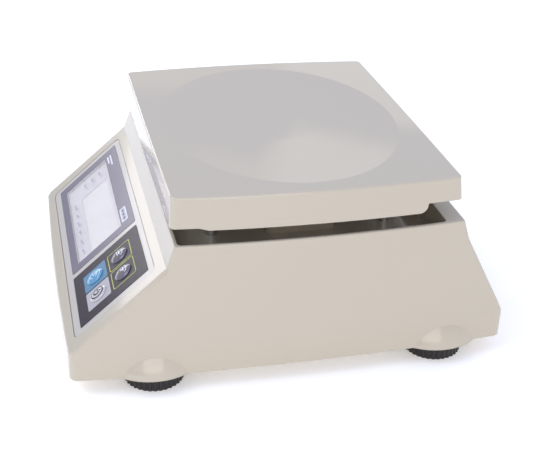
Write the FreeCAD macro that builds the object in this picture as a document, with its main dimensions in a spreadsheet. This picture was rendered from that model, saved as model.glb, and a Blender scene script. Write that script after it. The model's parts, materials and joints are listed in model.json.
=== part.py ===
import FreeCAD, Part
import math
import os
import Sketcher
from FreeCAD import Placement, Rotation, Vector

# A counting scale: a bowed plastic casing with a sloping control panel, an open well,
# a lift-off weighing platter carried on a load cell, and four levelling feet.
# Millimetres. Origin at the middle of the footprint on the table, X to the user's right,
# Y away from the user, Z up.

document = FreeCAD.newDocument("counting_scale")

# ---------------------------------------------------------------------------
# Driving dimensions
# ---------------------------------------------------------------------------

DIMENSIONS = [
    # casing
    ("overall_height", 137.0),
    ("half_depth", 151.85),
    ("front_bow", 2.0),
    ("rear_bow", 0.8),
    ("wall", 3.0),
    ("skirt_bottom", 12.5),
    ("skirt_half_width", 127.7),
    ("band_top", 30.0),
    ("band_half_width", 128.0),
    ("band_bow", 6.3),
    ("rim_top", 104.0),
    ("rim_half_width", 121.3),
    ("rim_bow", 10.0),
    ("corner_radius", 6.0),
    ("rim_front", -80.15),
    ("rim_rear", 116.65),
    ("ridge_back", -85.45),
    ("ridge_top", 89.1),
    ("lip_top", 30.52),
    ("shoulder_back", 120.55),
    ("shoulder_top", 90.5),
    # well under the platter
    ("rim_width", 2.2),
    ("well_front", -77.95),
    ("well_rear", 103.65),
    ("well_floor", 84.0),
    ("well_radius", 3.0),
    ("post_hole", 44.0),
    # control panel, measured down the slope from the ridge
    ("panel_recess", 1.8),
    ("bezel_half_width", 108.6),
    ("bezel_start", 7.8),
    ("bezel_end", 79.2),
    ("bezel_gap", 0.4),
    ("bezel_thick", 1.5),
    ("ledge", 5.0),
    ("film_start", 12.8),
    ("film_end", 73.0),
    ("film_half_width", 102.3),
    ("film_thick", 0.3),
    ("divider_left", 32.0),
    ("divider_right", 38.0),
    ("window_left", -92.6),
    ("window_right", 23.6),
    ("window_start", 24.5),
    ("window_end", 66.8),
    ("key_column", 58.6),
    ("key_pitch_across", 23.2),
    ("key_row", 31.6),
    ("key_pitch_down", 22.6),
    ("key_radius", 7.0),
    ("key_clearance", 0.1),
    ("key_rise", 2.4),
    ("key_flange_radius", 8.6),
    ("board_depth", 10.9),
    ("board_thick", 1.6),
    # feet
    ("foot_across", 106.5),
    ("foot_front", -93.25),
    ("foot_rear", 105.65),
    ("boss_across", 95.0),
    ("boss_height", 5.0),
    ("boss_radius", 37.56),
    ("pillar_radius", 14.0),
    ("pillar_bottom", 9.5),
    ("foot_radius", 20.2),
    ("foot_top", 8.4),
    ("pad_radius", 18.8),
    ("pad_thick", 1.2),
    ("stud_radius", 3.95),
    ("stud_top", 30.0),
    ("insert_radius", 6.0),
    ("insert_bore", 4.0),
    # base
    ("base_bottom", 13.0),
    ("base_thick", 3.0),
    ("base_gap", 0.4),
    ("lip_height", 8.0),
    # weighing parts
    ("platter_middle", 14.65),
    ("platter_half_width", 120.5),
    ("platter_half_depth", 97.0),
    ("platter_bow", 5.0),
    ("platter_flare", 1.0),
    ("rear_flare", 2.6),
    ("platter_corner", 4.5),
    ("platter_plate", 4.4),
    ("platter_wall", 2.6),
    ("platter_edge", 1.5),
    ("valance_bottom", 114.0),
    ("front_relief", 1.7),
    ("rear_relief", 6.6),
    ("relief_ramp", 6.0),
    ("relief_radius", 5.6),
    ("valance_front", -64.35),
    ("valance_rear", 87.65),
    ("dish_half_width", 108.0),
    ("dish_half_depth", 84.0),
    ("dish_depth", 2.4),
    ("support_bottom", 116.5),
    ("support_thick", 5.0),
    ("support_pad_top", 129.5),
    ("seat_across", 84.0),
    ("seat_along", 62.0),
    ("post_across", 50.0),
    ("post_size", 28.0),
    ("cell_length", 130.0),
    ("cell_width", 30.0),
    ("cell_height", 22.0),
    ("cell_bottom", 50.0),
    ("frame_thick", 6.0),
    # battery box
    ("tray_half_width", 60.0),
    ("tray_front", 56.0),
    ("tray_rear", 116.0),
    ("tray_top", 47.0),
    # electronics
    ("jack_across", 66.0),
    ("jack_height", 22.0),
]

sheet = document.addObject("Spreadsheet::Sheet", "dims")
for row, (alias, value) in enumerate(DIMENSIONS, start=1):
    sheet.set("A%d" % row, alias)
    sheet.set("B%d" % row, str(value))
    sheet.setAlias("B%d" % row, alias)
document.recompute()

SIZE = {alias: float(sheet.get(alias)) for alias, value in DIMENSIONS}

PANEL_RISE = SIZE["ridge_top"] - SIZE["lip_top"]
PANEL_RUN = SIZE["half_depth"] + SIZE["ridge_back"]
PANEL_TILT = math.degrees(math.atan2(PANEL_RISE, PANEL_RUN))
PANEL_ORIGIN = Vector(0, SIZE["ridge_back"], SIZE["ridge_top"])
PANEL_ROTATION = Rotation(Vector(1, 0, 0), PANEL_TILT)
PANEL_PLACEMENT = Placement(PANEL_ORIGIN, PANEL_ROTATION)
LEVEL = Placement()
CASE_BOWS = (SIZE["front_bow"], SIZE["rear_bow"])
FEET = {
    "front_left": (-SIZE["foot_across"], SIZE["foot_front"]),
    "front_right": (SIZE["foot_across"], SIZE["foot_front"]),
    "rear_left": (-SIZE["foot_across"], SIZE["foot_rear"]),
    "rear_right": (SIZE["foot_across"], SIZE["foot_rear"]),
}
KEYS = {
    "key_upper_left": (0, 0),
    "key_upper_right": (1, 0),
    "key_lower_left": (0, 1),
    "key_lower_right": (1, 1),
}
CASE_POSTS = [(side * x, y) for x, y in ((109.0, -127.0), (104.0, 20.0), (84.0, 131.0)) for side in (-1, 1)]
CASE_POST_RADIUS = 4.6
CASE_SCREW_RADIUS = 1.5
LEVEL_SPOT = (-88.0, -52.0)
SEATS = [(x, SIZE["platter_middle"] + y) for x in (-SIZE["seat_across"], SIZE["seat_across"])
         for y in (-SIZE["seat_along"], SIZE["seat_along"])]
STOP_SPOTS = [(x, SIZE["platter_middle"] + y) for x in (-66.0, 66.0)
              for y in (-SIZE["seat_along"], SIZE["seat_along"])]

nodes = []


# ---------------------------------------------------------------------------
# Shape helpers
# ---------------------------------------------------------------------------

def keep(feature, name):
    """Marks a finished document object as one sub-part of the scale."""
    feature.Label = name
    nodes.append(feature)
    return feature


def shape_node(name, shape, placement=LEVEL):
    """Stores a free-form shape as a sub-part."""
    feature = document.addObject("Part::Feature", name)
    feature.Shape = shape.removeSplitter()
    feature.Placement = placement
    return keep(feature, name)


def block(x0, x1, y0, y1, z0, z1):
    return Part.makeBox(x1 - x0, y1 - y0, z1 - z0, Vector(x0, y0, z0))


def rod(radius, x, y, z0, z1):
    return Part.makeCylinder(radius, z1 - z0, Vector(x, y, z0))


def rounded_block(x0, x1, y0, y1, z0, z1, radius):
    """A block whose four upright edges are rounded."""
    solid = block(x0, x1, y0, y1, z0, z1)
    upright = [edge for edge in solid.Edges if abs(edge.tangentAt(edge.FirstParameter).z) > 0.99]
    return solid.makeFillet(radius, upright)


def joined(shapes):
    first = shapes[0]
    return first.fuse(shapes[1:]).removeSplitter()


def bowed_wire(half_width, side_bow, front, rear, end_bows, height, radius):
    """A plan outline whose four sides bow outwards; the half width is taken mid-way along, and
    end_bows are the bows of the front and the rear."""
    middle = (front + rear) / 2
    corner_x = half_width - side_bow
    front_left = Vector(-corner_x, front + end_bows[0], height)
    front_right = Vector(corner_x, front + end_bows[0], height)
    rear_right = Vector(corner_x, rear - end_bows[1], height)
    rear_left = Vector(-corner_x, rear - end_bows[1], height)
    arcs = [
        (front_left, Vector(0, front, height), front_right),
        (front_right, Vector(half_width, middle, height), rear_right),
        (rear_right, Vector(0, rear, height), rear_left),
        (rear_left, Vector(-half_width, middle, height), front_left),
    ]
    outline = Part.Wire([Part.Arc(*points).toShape() for points in arcs])
    slab = Part.Face(outline).extrude(Vector(0, 0, 1))
    slab = slab.makeFillet(radius, upright_edges(slab))
    bottoms = [face for face in slab.Faces if face.BoundBox.ZMax < height + 0.01]
    return bottoms[0].OuterWire


def upright_edges(solid, minimum=0.5):
    """Edges of a solid that run mostly upwards."""
    found = []
    for edge in solid.Edges:
        low = edge.valueAt(edge.FirstParameter)
        high = edge.valueAt(edge.LastParameter)
        if abs(high.z - low.z) > 0.9 * (high - low).Length and edge.Length > minimum:
            found.append(edge)
    return found


def drafted_block(inset, bottom):
    """The casing's bowed, drafted block, drawn inwards by an inset."""
    half_depth = SIZE["half_depth"] - inset
    sections = [
        (SIZE["skirt_half_width"], SIZE["band_bow"], bottom),
        (SIZE["band_half_width"], SIZE["band_bow"], SIZE["band_top"]),
        (SIZE["rim_half_width"], SIZE["rim_bow"], SIZE["rim_top"]),
    ]
    radius = SIZE["corner_radius"] - inset
    wires = [bowed_wire(half - inset, bow, -half_depth, half_depth, CASE_BOWS, height, radius)
             for half, bow, height in sections]
    return Part.makeLoft(wires, True, True)


def side_profile(inset, bottom):
    """The casing's outline seen from its right side, drawn inwards by an inset, across its width."""
    points = [
        Vector(0, -SIZE["half_depth"], bottom),
        Vector(0, -SIZE["half_depth"], SIZE["lip_top"]),
        Vector(0, SIZE["ridge_back"], SIZE["ridge_top"]),
        Vector(0, SIZE["rim_front"], SIZE["rim_top"]),
        Vector(0, SIZE["rim_rear"], SIZE["rim_top"]),
        Vector(0, SIZE["shoulder_back"], SIZE["shoulder_top"]),
        Vector(0, SIZE["half_depth"], SIZE["band_top"]),
        Vector(0, SIZE["half_depth"], bottom),
    ]
    wire = Part.makePolygon(points + [points[0]])
    if inset:
        wire = wire.makeOffset2D(-inset, 2)
    face = Part.Face(wire)
    reach = SIZE["band_half_width"] + 20
    face.translate(Vector(-reach, 0, 0))
    return face.extrude(Vector(2 * reach, 0, 0))


def in_panel(shape):
    """Moves a shape drawn in the panel's own frame (x across, y up the slope, z out) into place."""
    moved = shape.copy()
    moved.Placement = PANEL_PLACEMENT.multiply(moved.Placement)
    return moved


def panel_block(left, right, start, end, low, high, radius=0.0):
    """A block on the panel; start and end are distances down the slope from the ridge."""
    if radius:
        return rounded_block(left, right, -end, -start, low, high, radius)
    return block(left, right, -end, -start, low, high)


def key_centre(column, row):
    across = SIZE["key_column"] + column * SIZE["key_pitch_across"]
    down = SIZE["key_row"] + row * SIZE["key_pitch_down"]
    return across, -down


# ---------------------------------------------------------------------------
# Casing
# ---------------------------------------------------------------------------

def edge_middle(edge):
    return edge.valueAt((edge.FirstParameter + edge.LastParameter) / 2)


def rounded_edges(solid, radius, wanted):
    """Rounds the edges whose middle point passes a test."""
    return solid.makeFillet(radius, [edge for edge in solid.Edges if wanted(edge_middle(edge), edge)])


def on_side_slope(middle, edge):
    """The long edges between a side and the panel, and between a side and the rear slope."""
    runs_along = abs(edge.tangentAt(edge.FirstParameter).x) < 0.5
    in_front = middle.y < SIZE["rim_front"]
    behind = middle.y > SIZE["rim_rear"] - 1
    return abs(middle.x) > 100 and middle.z > SIZE["lip_top"] + 1 and runs_along and (in_front or behind)


def on_rim(middle, edge):
    return middle.z > SIZE["rim_top"] - 0.1


def on_shoulder(middle, edge):
    level = abs(middle.z - SIZE["shoulder_top"]) < 0.5
    return abs(middle.x) < 5 and abs(middle.y - SIZE["shoulder_back"]) < 0.5 and level


def on_skirt(middle, edge):
    return middle.z < SIZE["skirt_bottom"] + 0.1


def well_solid(inset, bottom):
    """The space of the well: its sides follow the bowed rim, and an inset draws it inwards."""
    half = SIZE["rim_half_width"] - inset
    outline = bowed_wire(half, SIZE["rim_bow"], -SIZE["half_depth"], SIZE["half_depth"], CASE_BOWS,
                         bottom, SIZE["corner_radius"])
    spread = inset - SIZE["rim_width"]
    length = block(-half - 1, half + 1, SIZE["well_front"] + spread, SIZE["well_rear"] - spread,
                   bottom, SIZE["rim_top"] + 1)
    space = Part.Face(outline).extrude(Vector(0, 0, SIZE["rim_top"] + 1 - bottom)).common(length)
    corners = upright_edges(space)
    return space.makeFillet(SIZE["well_radius"], corners)


def boss_ball(radius, side, along, bottom):
    """The part of a foot boss's ball that lies above the given height."""
    ball = Part.makeSphere(radius, Vector(side * SIZE["boss_across"], along, SIZE["boss_height"]))
    reach = 2 * radius
    x = side * SIZE["boss_across"]
    return ball.common(block(x - reach, x + reach, along - reach, along + reach, bottom, bottom + reach))


def make_upper_housing():
    outer = drafted_block(0, SIZE["skirt_bottom"]).common(side_profile(0, SIZE["skirt_bottom"]))
    outer = rounded_edges(outer, 1.8, on_side_slope)
    outer = rounded_edges(outer, 0.9, on_rim)
    outer = rounded_edges(outer, 4.0, on_shoulder)
    outer = rounded_edges(outer, 0.8, on_skirt)
    wall = SIZE["wall"]
    below = -5.0
    bosses = []
    hollows = []
    for x, y in FEET.values():
        side = math.copysign(1, x)
        bosses.append(boss_ball(SIZE["boss_radius"], side, y, SIZE["skirt_bottom"]))
        hollows.append(boss_ball(SIZE["boss_radius"] - wall, side, y, below))
    outer = joined([outer] + bosses)
    cavity = drafted_block(wall, below).common(side_profile(wall, below))
    cavity = cavity.cut(well_solid(SIZE["rim_width"] - wall, SIZE["well_floor"] - wall))
    cavity = joined([cavity] + hollows)
    shell = outer.cut([cavity, well_solid(SIZE["rim_width"], SIZE["well_floor"])])
    posts = []
    for x, y in CASE_POSTS:
        post = rod(CASE_POST_RADIUS, x, y, SIZE["base_bottom"] + SIZE["base_thick"] + 0.1, SIZE["rim_top"])
        posts.append(post.common(cavity))
    shell = joined([shell] + posts)
    half = SIZE["post_hole"] / 2
    centre = Vector(SIZE["post_across"], SIZE["platter_middle"], 0)
    collar = rounded_block(centre.x - half - 2.5, centre.x + half + 2.5, centre.y - half - 2.5,
                           centre.y + half + 2.5, SIZE["well_floor"] - 1, SIZE["well_floor"] + 5, 5.0)
    shell = joined([shell, collar])
    opening = rounded_block(centre.x - half, centre.x + half, centre.y - half, centre.y + half,
                            SIZE["well_floor"] - 10, SIZE["well_floor"] + 10, 3.0)
    cuts = [opening]
    recess = panel_block(-SIZE["bezel_half_width"], SIZE["bezel_half_width"], SIZE["bezel_start"],
                         SIZE["bezel_end"], -SIZE["panel_recess"], 6.0, 5.0)
    ledge = SIZE["ledge"]
    through = panel_block(-SIZE["bezel_half_width"] + ledge, SIZE["bezel_half_width"] - ledge,
                          SIZE["bezel_start"] + ledge, SIZE["bezel_end"] - ledge, -8.0, 6.0, 3.0)
    cuts.append(in_panel(recess))
    cuts.append(in_panel(through))
    for x, y in CASE_POSTS:
        cuts.append(rod(CASE_SCREW_RADIUS, x, y, 0, 38.0))
    jack_at = Vector(SIZE["jack_across"], 140, SIZE["jack_height"])
    cuts.append(Part.makeCylinder(5.2, 20, jack_at, Vector(0, 1, 0)))
    cuts.append(rod(9.3, LEVEL_SPOT[0], LEVEL_SPOT[1], SIZE["well_floor"] - 10, SIZE["well_floor"] + 10))
    for x, y in STOP_SPOTS:
        cuts.append(rod(2.0, x, y, SIZE["well_floor"] - 10, SIZE["well_floor"] + 1))
    return shell.cut(cuts)


shape_node("upper_housing", make_upper_housing())


def make_base_housing():
    inset = SIZE["wall"] + SIZE["base_gap"]
    half_depth = SIZE["half_depth"] - inset
    radius = SIZE["corner_radius"] - inset
    bottom = SIZE["base_bottom"]
    top = bottom + SIZE["base_thick"]
    half_width = SIZE["skirt_half_width"] - inset
    outline = bowed_wire(half_width, SIZE["band_bow"], -half_depth, half_depth, CASE_BOWS, bottom, radius)
    plate = Part.Face(outline).extrude(Vector(0, 0, SIZE["base_thick"]))
    inner = bowed_wire(half_width - 2.0, SIZE["band_bow"], -half_depth + 2, half_depth - 2,
                       CASE_BOWS, bottom, radius)
    lip = Part.Face(outline).extrude(Vector(0, 0, SIZE["base_thick"] + SIZE["lip_height"]))
    lip = lip.cut(Part.Face(inner).extrude(Vector(0, 0, 40)))
    lip = lip.cut(block(56, 76, 130, 155, top, 40))
    pieces = [plate, lip]
    hollow = SIZE["boss_radius"] - SIZE["wall"]
    rise = top - SIZE["boss_height"]
    lobe = math.sqrt(hollow ** 2 - rise ** 2) - SIZE["base_gap"]
    for x, y in FEET.values():
        pieces.append(rod(SIZE["pillar_radius"], x, y, SIZE["pillar_bottom"], 21.6))
        pieces.append(rod(lobe, math.copysign(SIZE["boss_across"], x), y, bottom, top))
    for x, y in BOARD_POSTS:
        pieces.append(rod(3.0, x, y, top - 0.5, BOARD_LEVEL))
    for side in (-1, 1):
        rail = block(62, 65.5, 54, 120, 8.6, bottom + 0.5)
        tongue = block(59.8, 62.5, 54, 120, 8.6, 10.1)
        for piece in (rail, tongue):
            pieces.append(piece if side > 0 else piece.mirror(Vector(0, 0, 0), Vector(1, 0, 0)))
    pieces.append(block(-65.5, 65.5, 118.3, 121, 8.6, bottom + 0.5))
    base = joined(pieces)
    cuts = [block(-57, 57, 59, 113, 0, top + 1)]
    for x, y in FEET.values():
        cuts.append(rod(SIZE["insert_radius"], x, y, 0, 30))
    for x, y in CASE_POSTS:
        cuts.append(rod(CASE_SCREW_RADIUS + 0.2, x, y, 0, 40))
        cuts.append(rod(3.1, x, y, 0, bottom + 2.0))
    for x, y in BOARD_POSTS:
        cuts.append(rod(1.2, x, y, top, 40))
    for x, y in FRAME_SCREWS:
        cuts.append(rod(2.0, x, y, bottom + 0.6, 40))
    return base.cut(cuts)


BOARD_LEVEL = 22.0
BOARD_POSTS = [(-54.0, -102.0), (54.0, -102.0), (-54.0, -46.0), (54.0, -46.0)]
FRAME_SCREWS = [(-69.0, -4.0), (69.0, -4.0), (-69.0, 37.0), (69.0, 37.0)]
shape_node("base_housing", make_base_housing())


# ---------------------------------------------------------------------------
# Parametric helpers: primitives and booleans bound to the sheet
# ---------------------------------------------------------------------------

def box_object(name, across, along, up):
    """A Part box; each argument is a pair of expressions, low and high."""
    feature = document.addObject("Part::Box", name)
    for size, axis, (low, high) in (("Length", "x", across), ("Width", "y", along), ("Height", "z", up)):
        feature.setExpression(size, "(%s) - (%s)" % (high, low))
        feature.setExpression("Placement.Base.%s" % axis, low)
    return feature


def cylinder_object(name, radius, x, y, up):
    """An upright Part cylinder; up is a pair of expressions, low and high."""
    feature = document.addObject("Part::Cylinder", name)
    feature.setExpression("Radius", radius)
    feature.setExpression("Height", "(%s) - (%s)" % (up[1], up[0]))
    feature.setExpression("Placement.Base.x", x)
    feature.setExpression("Placement.Base.y", y)
    feature.setExpression("Placement.Base.z", up[0])
    return feature


def cut_object(name, base, tools):
    feature = document.addObject("Part::Cut", name)
    feature.Base = base
    feature.Tool = tools[0] if len(tools) == 1 else fuse_object(name + "_tools", tools)
    feature.Refine = True
    return feature


def fuse_object(name, shapes):
    feature = document.addObject("Part::MultiFuse", name)
    feature.Shapes = shapes
    feature.Refine = True
    return feature


def group_object(name, shapes):
    """Several separate solids that are one sub-part, such as a set of screws."""
    feature = document.addObject("Part::Compound", name)
    feature.Links = shapes
    return feature


def origin_plane(body, role):
    for feature in body.Origin.OriginFeatures:
        if feature.Role == role:
            return feature
    raise ValueError(role)


def sketch_on(body, name, role, lift=None):
    sketch = body.newObject("Sketcher::SketchObject", name)
    sketch.AttachmentSupport = [(origin_plane(body, role), "")]
    sketch.MapMode = "FlatFace"
    if lift:
        sketch.setExpression("AttachmentOffset.Base.z", lift)
    return sketch


def circle_in(sketch, radius, x=0.0, y=0.0):
    """A circle whose radius is an expression; x and y place its centre."""
    index = sketch.addGeometry(Part.Circle(Vector(x, y, 0), Vector(0, 0, 1), 1.0))
    constraint = sketch.addConstraint(Sketcher.Constraint("Radius", index, 1.0))
    sketch.setExpression("Constraints[%d]" % constraint, radius)
    return index


def outline_in(sketch, points):
    """A closed outline of straight runs through (x, y) points; a point with a third entry None
    is the middle of an arc from the point before it to the point after it."""
    count = len(points)
    index = 0
    while index < count:
        start = points[index]
        following = points[(index + 1) % count]
        if len(following) == 3:
            end = points[(index + 2) % count]
            arc = Part.Arc(Vector(start[0], start[1], 0), Vector(following[0], following[1], 0),
                           Vector(end[0], end[1], 0))
            sketch.addGeometry(arc)
            index += 2
        else:
            sketch.addGeometry(Part.LineSegment(Vector(start[0], start[1], 0),
                                                Vector(following[0], following[1], 0)))
            index += 1


def pad_on(body, name, sketch, length):
    pad = body.newObject("PartDesign::Pad", name)
    pad.Profile = sketch
    pad.setExpression("Length", length)
    return pad


def turned_body(name, points):
    """A body of revolution about Z; points are (radius, height)."""
    body = document.addObject("PartDesign::Body", name)
    sketch = sketch_on(body, name + "_profile", "XZ_Plane")
    outline_in(sketch, points)
    turn = body.newObject("PartDesign::Revolution", name + "_turn")
    turn.Profile = sketch
    turn.ReferenceAxis = (sketch, ["V_Axis"])
    turn.Angle = 360
    return body


# ---------------------------------------------------------------------------
# Levelling feet
# ---------------------------------------------------------------------------

SCALLOPS = 34


def make_foot(place, x, y):
    pad = turned_body("foot_pad_" + place, [
        (0, 0), (SIZE["pad_radius"] - 0.6, 0), (SIZE["pad_radius"], 0.6),
        (SIZE["pad_radius"], SIZE["pad_thick"]), (5.0, SIZE["pad_thick"]), (5.0, 3.8), (0, 3.8)])
    knob = document.addObject("PartDesign::Body", "foot_knob_" + place)
    rim = sketch_on(knob, "knob_rim_" + place, "XY_Plane", "dims.pad_thick + 0.1")
    circle_in(rim, "dims.foot_radius")
    pad_on(knob, "knob_disc_" + place, rim, "dims.foot_top - dims.pad_thick - 0.1")
    document.recompute()
    notch_sketch = sketch_on(knob, "knob_notch_" + place, "XY_Plane", "dims.pad_thick")
    circle_in(notch_sketch, "1.05", SIZE["foot_radius"] + 0.25)
    notch = knob.newObject("PartDesign::Pocket", "knob_scallop_" + place)
    notch.Profile = notch_sketch
    notch.Length = 20
    notch.Reversed = True
    document.recompute()
    pattern = knob.newObject("PartDesign::PolarPattern", "knob_scallops_" + place)
    pattern.Originals = [notch]
    pattern.Axis = (notch_sketch, ["N_Axis"])
    pattern.Angle = 360
    pattern.Occurrences = SCALLOPS
    knob.Tip = pattern
    document.recompute()
    bore_sketch = sketch_on(knob, "knob_bore_profile_" + place, "XZ_Plane")
    outline_in(bore_sketch, [(0, 0), (5.08, 0), (5.08, 4.6), (SIZE["stud_radius"], 4.6),
                             (SIZE["stud_radius"], 12), (0, 12)])
    bore = knob.newObject("PartDesign::Groove", "knob_bore_" + place)
    bore.Profile = bore_sketch
    bore.ReferenceAxis = (bore_sketch, ["V_Axis"])
    bore.Angle = 360
    stud = turned_body("foot_stud_" + place, [
        (0, 4.6), (SIZE["stud_radius"], 4.6), (SIZE["stud_radius"], SIZE["stud_top"] - 1),
        (SIZE["stud_radius"] - 1, SIZE["stud_top"]), (0, SIZE["stud_top"])])
    for body, name in ((pad, "foot_pad_"), (knob, "foot_knob_"), (stud, "foot_stud_")):
        body.Placement = Placement(Vector(x, y, 0), Rotation())
        keep(body, name + place)


for place, (x, y) in FEET.items():
    make_foot(place, x, y)

inserts = []
for place, (x, y) in FEET.items():
    across = "%s1 * dims.foot_across" % ("-" if x < 0 else "")
    along = "dims.foot_front" if y < 0 else "dims.foot_rear"
    sleeve = cylinder_object("insert_sleeve_" + place, "dims.insert_radius", across, along, ("9.6", "21.5"))
    hole = cylinder_object("insert_hole_" + place, "dims.insert_bore", across, along, ("5", "30"))
    inserts.append(cut_object("insert_" + place, sleeve, [hole]))
keep(group_object("foot_inserts", inserts), "foot_inserts")


# ---------------------------------------------------------------------------
# Weighing platter, its support and the load cell
# ---------------------------------------------------------------------------

def make_platter():
    middle = SIZE["platter_middle"]
    half_depth = SIZE["platter_half_depth"]
    top = SIZE["overall_height"]
    bottom = SIZE["valance_bottom"]

    def outline(inset, height, flare):
        rear = middle + half_depth - inset + flare * SIZE["rear_flare"]
        return bowed_wire(SIZE["platter_half_width"] - inset + flare, SIZE["platter_bow"],
                          middle - half_depth + inset - flare, rear, (0.6, 0.6), height,
                          max(SIZE["platter_corner"] - inset, 1.5))

    flare = SIZE["platter_flare"]
    shell = Part.makeLoft([outline(0, bottom, flare), outline(0, top, 0)], True, True)
    rim = [edge for edge in shell.Edges if edge.BoundBox.ZMin > top - 0.1]
    shell = shell.makeFillet(SIZE["platter_edge"], rim)
    wall = SIZE["platter_wall"]
    under = top - SIZE["platter_plate"]
    hollow = Part.makeLoft([outline(wall, bottom - 1, flare), outline(wall, under, 0)], True, True)
    platter = shell.cut(hollow)
    seats = [rod(10.5, x, y, SIZE["support_pad_top"], under + 0.5) for x, y in SEATS]
    platter = joined([platter] + seats)
    platter = platter.cut([front_relief(), rear_relief()])
    ball_radius = (SIZE["dish_half_depth"] ** 2 + SIZE["dish_depth"] ** 2) / (2 * SIZE["dish_depth"])
    ball = Part.makeSphere(ball_radius, Vector(0, 0, 0), Vector(1, 0, 0))
    stretch = FreeCAD.Matrix()
    stretch.A11 = SIZE["dish_half_width"] / SIZE["dish_half_depth"]
    dish = ball.transformGeometry(stretch)
    dish.translate(Vector(0, middle, top - SIZE["dish_depth"] + ball_radius))
    return platter.cut(dish)


def across_platter(edges):
    """Draws a closed (y, z) outline right across the platter."""
    reach = SIZE["platter_half_width"] + 10
    face = Part.Face(Part.Wire(edges))
    face.translate(Vector(-reach, 0, 0))
    return face.extrude(Vector(2 * reach, 0, 0))


def front_relief():
    """The stretch of skirt that is cut a little shorter at the front, with a gentle ramp."""
    low = SIZE["valance_bottom"]
    outer = SIZE["platter_middle"] - SIZE["platter_half_depth"] - 10
    points = [Vector(0, outer, low - 2), Vector(0, SIZE["valance_front"] + SIZE["relief_ramp"], low - 2),
              Vector(0, SIZE["valance_front"] + SIZE["relief_ramp"], low),
              Vector(0, SIZE["valance_front"], low + SIZE["front_relief"]),
              Vector(0, outer, low + SIZE["front_relief"])]
    return across_platter(Part.makePolygon(points + points[:1]).Edges)


def rear_relief():
    """The stretch of skirt that is cut shorter at the rear; the skirt rounds up into it."""
    low = SIZE["valance_bottom"]
    outer = SIZE["platter_middle"] + SIZE["platter_half_depth"] + 10
    radius = SIZE["relief_radius"]
    turn = radius * math.sqrt(0.5)
    start = Vector(0, SIZE["valance_rear"] - radius, low)
    end = Vector(0, SIZE["valance_rear"], low + radius)
    centre = Vector(0, start.y, end.z)
    corners = [end, Vector(0, end.y, low + SIZE["rear_relief"]), Vector(0, outer, low + SIZE["rear_relief"]),
               Vector(0, outer, low - 2), Vector(0, start.y, low - 2), start]
    edges = [Part.Arc(start, centre + Vector(0, turn, -turn), end).toShape()]
    edges += Part.makePolygon(corners).Edges
    return across_platter(edges)


shape_node("platter", make_platter())


def make_platter_support():
    low = SIZE["support_bottom"]
    high = low + SIZE["support_thick"]
    middle = SIZE["platter_middle"]
    across = SIZE["seat_across"]
    along = SIZE["seat_along"]
    pieces = [rounded_block(-46, 74, middle - 22, middle + 22, low, high, 8)]
    for side in (-1, 1):
        pieces.append(rounded_block(-across - 12, across + 12, middle + side * along - 11,
                                    middle + side * along + 11, low, high, 9))
        pieces.append(block(-across - 12, across + 12, middle + side * along - 2,
                            middle + side * along + 2, low - 6, low + 1))
    for x in (-40, 68):
        pieces.append(block(x - 9, x + 9, middle - along, middle + along, low, high))
    support = joined(pieces)
    cuts = [rod(3.0, x, middle, 0, 200) for x in LIVE_BOLTS]
    for x, y in SEATS:
        cuts.append(rod(3.0, x, y, high - 3, high + 1))
    for x, y in STOP_SPOTS:
        cuts.append(rod(6.0, x, y, 0, low))
    cuts.append(rounded_block(-22, 26, middle - 13, middle + 13, low - 1, high + 1, 6))
    return support.cut(cuts)


LIVE_BOLTS = (43.0, 57.0)
FIXED_BOLTS = (-57.0, -41.0)
shape_node("platter_support", make_platter_support())


def pad_pieces():
    pads = []
    for number, (x, y) in enumerate(SEATS):
        top = "dims.support_pad_top"
        low = "dims.support_bottom + dims.support_thick"
        side = "-" if x < 0 else ""
        sign = "-" if number % 2 == 0 else "+"
        across = "%s1 * dims.seat_across" % side
        along = "dims.platter_middle %s dims.seat_along" % sign
        button = cylinder_object("pad_button_%d" % number, "9", across, along, (low, top))
        stem = cylinder_object("pad_stem_%d" % number, "3", across, along, (low + " - 3", low + " + 1"))
        pads.append(fuse_object("pad_%d" % number, [button, stem]))
    return pads


keep(group_object("support_pads", pad_pieces()), "support_pads")

CELL_ALONG = ("dims.platter_middle - dims.cell_width / 2", "dims.platter_middle + dims.cell_width / 2")
CELL_UP = ("dims.cell_bottom", "dims.cell_bottom + dims.cell_height")


def bar_hole(name, x, z, radius):
    """A cylinder right through the load cell from front to back."""
    feature = document.addObject("Part::Cylinder", name)
    feature.Radius = radius
    feature.Height = 60
    feature.Placement = Placement(Vector(x, SIZE["platter_middle"] + 30, z), Rotation(Vector(1, 0, 0), 90))
    return feature


def upright_hole(name, x, y, radius, low, high):
    return cylinder_object(name, str(radius), str(x), str(y), (str(low), str(high)))


cell_bar = box_object("cell_bar", ("-dims.cell_length / 2", "dims.cell_length / 2"), CELL_ALONG, CELL_UP)
cell_mid = SIZE["cell_bottom"] + SIZE["cell_height"] / 2
cell_tools = [bar_hole("cell_eye_left", -13, cell_mid, 8.2), bar_hole("cell_eye_right", 13, cell_mid, 8.2)]
cell_tools.append(box_object("cell_slot", ("-13", "13"),
                             ("dims.platter_middle - 20", "dims.platter_middle + 20"),
                             (str(cell_mid - 3), str(cell_mid + 3))))
for number, x in enumerate(FIXED_BOLTS):
    cell_tools.append(upright_hole("cell_fixed_hole_%d" % number, x, SIZE["platter_middle"], 3, 45, 64))
for number, x in enumerate(LIVE_BOLTS):
    cell_tools.append(upright_hole("cell_live_hole_%d" % number, x, SIZE["platter_middle"], 3, 58, 80))
keep(cut_object("load_cell", cell_bar, cell_tools), "load_cell")

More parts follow.
